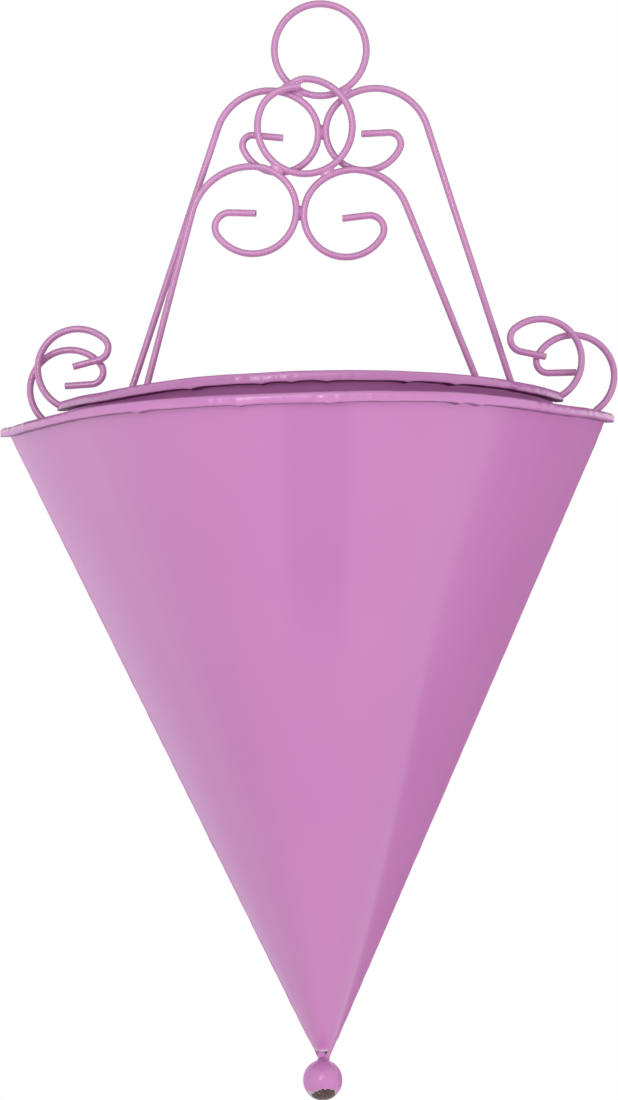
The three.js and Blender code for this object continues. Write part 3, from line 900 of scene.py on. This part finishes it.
def back_plate(planter):
    """Back plate: a flat sheet cut to the pocket's edges, bowed a little forwards, with its edges eased."""
    half = planter.width / 2
    tip_half = half * PLATE_TIP / planter.height
    bm = bmesh.new()
    outline = [(-tip_half, PLATE_TIP), (tip_half, PLATE_TIP), (half, planter.height), (-half, planter.height)]
    corners = [bm.verts.new((x, 0, z)) for x, z in outline]
    bm.faces.new(corners)
    bmesh.ops.subdivide_edges(bm, edges=bm.edges[:], cuts=PLATE_ROWS, use_grid_fill=True)
    for vert in bm.verts:
        reach = half * vert.co.z / planter.height
        from_side = min(1, (reach - abs(vert.co.x)) / (25 * MM))
        from_top = min(1, (planter.height - vert.co.z) / (20 * MM))
        bow = PLATE_BOW * (noise.noise(vert.co * 13) + 0.6)
        vert.co.y = -max(0, bow * from_side * from_top)
    bmesh.ops.recalc_face_normals(bm, faces=bm.faces)
    bm.faces.ensure_lookup_table()
    if bm.faces[0].normal.y < 0:
        bmesh.ops.reverse_faces(bm, faces=bm.faces)
    bmesh.ops.solidify(bm, geom=bm.faces[:], thickness=SHEET)
    rims = [edge for edge in bm.edges if edge.calc_face_angle(0) > math.radians(60)]
    bmesh.ops.bevel(bm, geom=rims, offset=PLATE_ROUND, segments=2, profile=0.5, affect="EDGES", material=-1)
    bmesh.ops.transform(bm, matrix=planter.place, verts=bm.verts)
    finish_piece(bm, planter.node("plate"), planter.body, sheet_enamel,
                 replaces=[planter.node("back_plate")])


SEAM_START = 14 * MM
SEAM_TOP_ROOM = 6 * MM
SEAM_STEP = 2.2 * MM
SEAM_RADIUS = 0.55 * MM
SEAM_LUMPS = 0.22 * MM
SEAM_INSET = 0.35 * MM
SEAM_PROUD = 0.1 * MM


def side_seam(planter, side):
    """Seam of weld and enamel down the corner between the plate and one side of the pocket."""
    half = planter.width / 2
    run = planter.height - SEAM_TOP_ROOM - SEAM_START
    steps = round(run / SEAM_STEP)
    points = []
    radii = []
    for i in range(steps + 1):
        height = SEAM_START + run * i / steps
        lump = noise.noise(Vector((height * 160, side * 5, planter.width * 40)))
        across = side * (half * height / planter.height - SEAM_INSET)
        points.append(planter.place @ Vector((across, -SHEET - SEAM_PROUD, height)))
        radii.append((SEAM_RADIUS + SEAM_LUMPS * lump) * (0.3 if i in (0, steps) else 1))
    bm = swept(points, radii, sides=10, end_round=0)
    finish_piece(bm, planter.node("seam_left" if side < 0 else "seam_right"), planter.body,
                 sheet_enamel)


# ---- Finials ----

def stem_bend():
    """How far the stem is turned forwards, and how far its straight run is from the ball's centre."""
    forward = BALL_FORWARD - WIRE_PLANE - STEM_BEND_RADIUS
    down = STEM_BEND_HEIGHT + BALL_DROP
    away = math.hypot(forward, down)
    turn = math.atan2(forward, down) + math.asin(STEM_BEND_RADIUS / away)
    return turn, math.sqrt(away ** 2 - STEM_BEND_RADIUS ** 2)


STEM_TURN, STEM_REACH = stem_bend()
BALL_CENTRE = Vector((FINIAL_OFFSET, -BALL_FORWARD, -BALL_DROP))
STEM_LEG_STEP = 3 * MM
STEM_BEND_STEPS = 10
STEM_SUNK = 2 * MM


def finial_stem(planter):
    """Stem: down the plate from inside the pocket, then forwards into the ball."""
    leg_steps = round((STEM_TOP - STEM_BEND_HEIGHT) / STEM_LEG_STEP)
    points = [Vector((FINIAL_OFFSET, -WIRE_PLANE, STEM_TOP - STEM_LEG_STEP * i)) for i in range(leg_steps)]
    for i in range(STEM_BEND_STEPS + 1):
        angle = STEM_TURN * i / STEM_BEND_STEPS
        forward = WIRE_PLANE + STEM_BEND_RADIUS * (1 - math.cos(angle))
        height = STEM_BEND_HEIGHT - STEM_BEND_RADIUS * math.sin(angle)
        points.append(Vector((FINIAL_OFFSET, -forward, height)))
    run = STEM_REACH - BALL_RADIUS + STEM_SUNK
    points.append(points[-1] + Vector((0, -math.sin(STEM_TURN), -math.cos(STEM_TURN))) * run)
    points = [planter.place @ point for point in points]
    bm = swept(points, [WIRE_RADIUS] * len(points))
    finish_piece(bm, planter.node("stem"), planter.body, sheet_enamel,
                 replaces=[planter.node("finial_stem")])


# Chipped and worn spots of a ball: their middles seen from its centre, and their spreads in degrees.
CHIP_CENTRE = Vector((0.04, -0.71, -0.70)).normalized()
CHIP_SPREAD = 41
WORN_CENTRE = Vector((-0.62, -0.62, -0.48)).normalized()
WORN_SPREAD = 17
SPREAD_FADE = 9
CHIP_DEPTH = 0.14 * MM
PIT_DEPTH = 0.2 * MM
BALL_LUMPS = 0.06 * MM
NECK_RADIUS = 4.6 * MM
NECK_EASE = 3 * MM
NECK_RISE = 2.6 * MM
NECK_HOLLOW = 2.6


def chipped(direction, seed):
    """How deep the ball's enamel is chipped in a direction from its centre, with a ragged edge."""
    ragged = 6 * noise.noise(direction * 3.6 + Vector((seed, 0, 0))) + 4.5 * noise.noise(direction * 10)
    angle = math.degrees(direction.angle(CHIP_CENTRE))
    return min(1, max(0, (CHIP_SPREAD + ragged - angle) / SPREAD_FADE))


def finial_ball(planter, seed):
    """Ball: round, with a neck where it meets the stem, and its enamel chipped off underneath."""
    axis = Vector((0, math.sin(STEM_TURN), math.cos(STEM_TURN)))
    bm = bmesh.new()
    bmesh.ops.create_icosphere(bm, subdivisions=6, radius=BALL_RADIUS)
    layer = bm.verts.layers.float.new("bare")
    for vert in bm.verts:
        direction = vert.co.normalized()
        depth = chipped(direction, seed)
        pits = 0.5 + noise.noise(direction * 14)
        worn = (WORN_SPREAD - math.degrees(direction.angle(WORN_CENTRE))) / SPREAD_FADE
        vert[layer] = max(depth, 0.3 * eased(worn))
        along = vert.co.dot(axis)
        off_axis = (vert.co - axis * along).length
        if along > 0 and off_axis < NECK_RADIUS:
            vert.co += axis * NECK_RISE * min(1, (NECK_RADIUS - off_axis) / NECK_EASE) ** NECK_HOLLOW
        lump = BALL_LUMPS * noise.noise(direction * 2.4 + Vector((0, seed, 0)))
        vert.co += direction * (lump - depth * (CHIP_DEPTH + PIT_DEPTH * pits))
    bmesh.ops.transform(bm, matrix=planter.place @ Matrix.Translation(BALL_CENTRE), verts=bm.verts)
    finish_piece(bm, planter.node("ball"), planter.body, sheet_enamel,
                 replaces=[planter.node("finial_ball")])


# Beads of a tip weld: across, forward, height, half length and radius, in millimetres.
TIP_BEADS = [(-1.3, 1.7, 7.6, 3.4, 1.7), (-0.8, 2.1, 5.6, 2.6, 2.1), (0.5, 1.6, 8.6, 2.6, 1.4),
             (1.5, 3.4, 6.6, 3.0, 1.6)]


def tip_weld(planter):
    """Weld that fills the corner between the stem, the plate's tip and the pocket's lower edge."""
    along = planter.place.to_3x3() @ UP
    parts = []
    for x, forward, height, half_length, radius in TIP_BEADS:
        spot = planter.place @ (Vector((x, -forward, height)) * MM)
        parts.append(bead(spot, along, half_length * MM, radius * MM, flat=0.8))
    melted(parts, planter.node("tip_weld"), planter, rounds=6)


for seed, planter in enumerate((large, small)):
    pocket_front(planter)
    back_plate(planter)
    side_seam(planter, -1)
    side_seam(planter, 1)
    finial_stem(planter)
    finial_ball(planter, seed * 4.2)
    tip_weld(planter)
    rim_wire(planter)


# ---- Stage ----

WHITE = (1, 1, 1, 1)
FLOOR_HEIGHT = -1.3
FLOOR_HALF = 2
FLOOR_GLOW = 0.28
POCKETS = Vector((0, -0.1, -0.33))
CARD_STRIPS = 40


def shown_to(nodes, links, names, plain, shown):
    """Mixes a plain shader with one that only some kinds of ray see."""
    rays = nodes.new("ShaderNodeLightPath")
    seen = rays.outputs[names[0]]
    for name in names[1:]:
        either = nodes.new("ShaderNodeMath")
        either.operation = "MAXIMUM"
        links.new(seen, either.inputs[0])
        links.new(rays.outputs[name], either.inputs[1])
        seen = either.outputs[0]
    mix = nodes.new("ShaderNodeMixShader")
    links.new(seen, mix.inputs["Fac"])
    links.new(plain, mix.inputs[1])
    links.new(shown, mix.inputs[2])
    return mix.outputs["Shader"]


def pale_floor():
    """A pale floor well below: white in the planters' gloss, and duller in the light that it throws back."""
    bm = bmesh.new()
    bmesh.ops.create_grid(bm, x_segments=1, y_segments=1, size=FLOOR_HALF)
    bmesh.ops.translate(bm, vec=(0, 0, FLOOR_HEIGHT), verts=bm.verts)
    mesh = bpy.data.meshes.new("floor")
    bm.to_mesh(mesh)
    bm.free()
    material, nodes, links, shader = new_material("pale_floor")
    shader.inputs["Base Color"].default_value = (0.9, 0.9, 0.9, 1)
    shader.inputs["Roughness"].default_value = 0.9
    shader.inputs["Emission Color"].default_value = WHITE
    shader.inputs["Emission Strength"].default_value = FLOOR_GLOW
    dull = nodes.new("ShaderNodeBsdfDiffuse")
    dull.inputs["Color"].default_value = (0.4, 0.4, 0.4, 1)
    white = nodes.new("ShaderNodeEmission")
    white.inputs["Color"].default_value = WHITE
    floor_seen = shown_to(nodes, links, ["Is Camera Ray"], dull.outputs["BSDF"], shader.outputs["BSDF"])
    clear_or_gloss = ["Is Glossy Ray", "Is Transmission Ray"]
    shown = shown_to(nodes, links, clear_or_gloss, floor_seen, white.outputs["Emission"])
    links.new(shown, nodes["Material Output"].inputs["Surface"])
    mesh.materials.append(material)
    floor = bpy.data.objects.new("floor", mesh)
    bpy.context.scene.collection.objects.link(floor)


def lamp(name, place, size, power, mirrored=False):
    """A square soft lamp aimed at the pockets; gloss shows it where it is mirrored."""
    data = bpy.data.lights.new(name, "AREA")
    data.size = size
    data.energy = power
    item = bpy.data.objects.new(name, data)
    item.location = place
    item.rotation_euler = (POCKETS - Vector(place)).to_track_quat("-Z", "Y").to_euler()
    item.visible_glossy = mirrored
    bpy.context.scene.collection.objects.link(item)


def studio_card(name, place, width, height, colour, target=POCKETS, fade=1 / CARD_STRIPS):
    """A card that only reflections show: it shapes the gloss and throws no light or shadow.

    Its glow grows from one edge, over the given share of its width. On a card in front that edge is the left.
    """
    bm = bmesh.new()
    bmesh.ops.create_grid(bm, x_segments=CARD_STRIPS, y_segments=1, size=0.5)
    glowing = bm.verts.layers.float.new("glow")
    for vert in bm.verts:
        vert[glowing] = eased((0.5 - vert.co.x) / fade)
    turn = (Vector(target) - Vector(place)).to_track_quat("Z", "Y").to_matrix().to_4x4()
    size = Matrix.Diagonal((width, height, 1, 1))
    bmesh.ops.transform(bm, matrix=Matrix.Translation(place) @ turn @ size, verts=bm.verts)
    mesh = bpy.data.meshes.new(name)
    bm.to_mesh(mesh)
    bm.free()
    material, nodes, links, _ = new_material(name)
    glow = nodes.new("ShaderNodeEmission")
    glow.inputs["Color"].default_value = (*colour, 1)
    share = nodes.new("ShaderNodeAttribute")
    share.attribute_name = "glow"
    links.new(share.outputs["Fac"], glow.inputs["Strength"])
    links.new(glow.outputs["Emission"], nodes["Material Output"].inputs["Surface"])
    mesh.materials.append(material)
    card = bpy.data.objects.new(name, mesh)
    card.visible_camera = False
    card.visible_diffuse = False
    card.visible_shadow = False
    card.visible_transmission = False
    bpy.context.scene.collection.objects.link(card)


def studio_world(ambient):
    """Even ambient light, and a white backdrop."""
    world = bpy.data.worlds.new("studio")
    bpy.context.scene.world = world
    world.use_nodes = True
    nodes, links = world.node_tree.nodes, world.node_tree.links
    even = nodes["Background"]
    even.inputs["Color"].default_value = WHITE
    even.inputs["Strength"].default_value = ambient
    white = nodes.new("ShaderNodeBackground")
    white.inputs["Color"].default_value = WHITE
    white.inputs["Strength"].default_value = 1
    rays = ["Is Camera Ray", "Is Glossy Ray", "Is Transmission Ray"]
    shown = shown_to(nodes, links, rays, even.outputs["Background"], white.outputs["Background"])
    links.new(shown, nodes["World Output"].inputs["Surface"])


pale_floor()
studio_world(ambient=0.48)
lamp("key", (-0.35, -1.35, 0.1), size=0.28, power=2.4, mirrored=True)
lamp("front_fill", (0.0, -1.9, -0.75), size=1.6, power=4.8)
lamp("left_side", (-1.15, -0.85, -0.5), size=0.9, power=7.2)
lamp("right_side", (1.2, -0.8, -0.55), size=0.9, power=9.5)
lamp("back_fill", (0.4, 1.6, 0.1), size=1.2, power=7)
studio_card("dark_stand", (0.05, -0.62, -0.80), 0.22, 0.24, (0, 0, 0))
studio_card("pale_behind_left", (-0.6, 1.0, -0.7), 1.2, 1.2, (0.88, 0.74, 0.92))
studio_card("mauve_behind_right", (1.0, 1.0, -0.7), 1.9, 1.2, (0.42, 0.2, 0.38))
studio_card("dark_behind_wires", (0, 0.5, 0.4), 2.0, 0.96, (0.02, 0.02, 0.02), target=(0, 0, 0.4))
studio_card("bright_above_front", (-0.33, -1.1, 0.26), 1.22, 0.5, (2.6, 2.6, 2.6),
            target=(-0.21, 0, -0.1), fade=0.45)

# ---- Camera, level, square to the wall ----
CAMERA_PLACE = Vector((-5.6, -850, -271.4)) * MM
CAMERA_LENS = 55.44
camera_data = bpy.data.cameras.new("camera")
camera_data.lens = CAMERA_LENS
camera_data.sensor_width = 36
camera_data.clip_start = 0.05
camera_data.clip_end = 50
camera = bpy.data.objects.new("camera", camera_data)
camera.location = CAMERA_PLACE
camera.rotation_euler = (math.pi / 2, 0, 0)
bpy.context.scene.collection.objects.link(camera)
bpy.context.scene.camera = camera
bpy.context.scene.view_settings.view_transform = "Standard"
